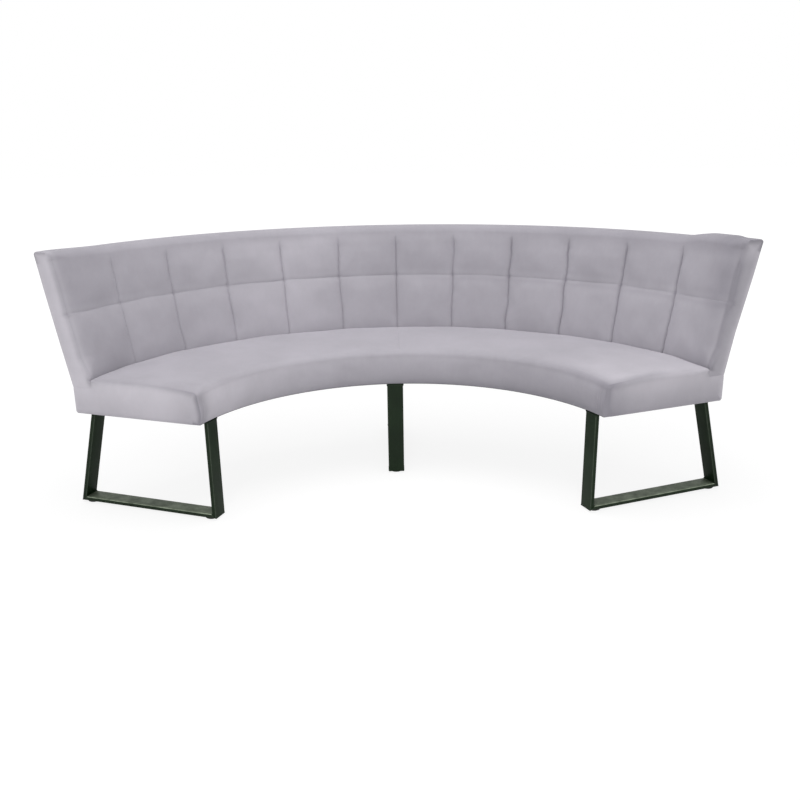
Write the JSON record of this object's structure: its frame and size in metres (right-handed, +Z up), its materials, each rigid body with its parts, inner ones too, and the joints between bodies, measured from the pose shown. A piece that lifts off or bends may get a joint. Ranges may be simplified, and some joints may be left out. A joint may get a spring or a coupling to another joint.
{
  "type": "upholstered banquette bench",
  "caption": "Half-round upholstered bench with a crowned seat, a leaning stitched-square back and sled legs of flat dark tube.",
  "frame": {"origin": "on the floor, at the middle of the bounding box in plan", "axes": "+X along the bench's width, hollow front towards -Y, back towards +Y, +Z up"},
  "size_m": [2.3956, 1.0348, 0.9],
  "materials": {
    "upholstery": "soft matte woven velour, light mauve grey",
    "underside_cloth": "matte black non-woven cloth",
    "frame_steel": "satin powder coat, very dark green black",
    "zinc_steel": "zinc plated",
    "glide_nylon": "matte black nylon",
    "timber": "sawn and planed, bare",
    "plywood": "sanded, bare",
    "foam": "open-cell foam, bare"
  },
  "bodies": {
    "root": {"left_foot_bar": "frame_steel", "left_front_upright": "frame_steel", "left_rear_upright": "frame_steel", "left_top_plate": "frame_steel", "left_leg_batten": "timber", "middle_foot_bar": "frame_steel", "middle_front_upright": "frame_steel", "middle_rear_upright": "frame_steel", "middle_top_plate": "frame_steel", "middle_leg_batten": "timber", "right_foot_bar": "frame_steel", "right_front_upright": "frame_steel", "right_rear_upright": "frame_steel", "right_top_plate": "frame_steel", "right_leg_batten": "timber", "floor_glides": "glide_nylon", "leg_bolts": "zinc_steel", "leg_washers": "zinc_steel", "leg_tee_nuts": "zinc_steel", "deck_screws": "zinc_steel", "back_brackets": "zinc_steel", "bracket_screws": "zinc_steel", "seat_front_rail": "timber", "seat_rear_rail": "timber", "seat_left_end_rail": "timber", "seat_right_end_rail": "timber", "seat_cross_ribs": "timber", "back_base_plank": "timber", "back_posts": "timber", "back_left_end_post": "timber", "back_right_end_post": "timber", "back_top_rail": "timber", "seat_deck_left": "plywood", "seat_deck_right": "plywood", "back_rear_board": "plywood", "back_front_ply": "plywood", "seat_foam_left": "foam", "seat_foam_right": "foam", "back_foam_left": "foam", "back_foam_right": "foam", "seat_cover_left": "upholstery", "seat_cover_right": "upholstery", "seat_left_end_cover": "upholstery", "seat_right_end_cover": "upholstery", "seat_rear_band": "upholstery", "back_cover_left": "upholstery", "back_cover_right": "upholstery", "back_rear_cover": "upholstery", "back_left_end_cover": "upholstery", "back_right_end_cover": "upholstery", "underside_cloth": "underside_cloth"}
  },
  "joints": []
}
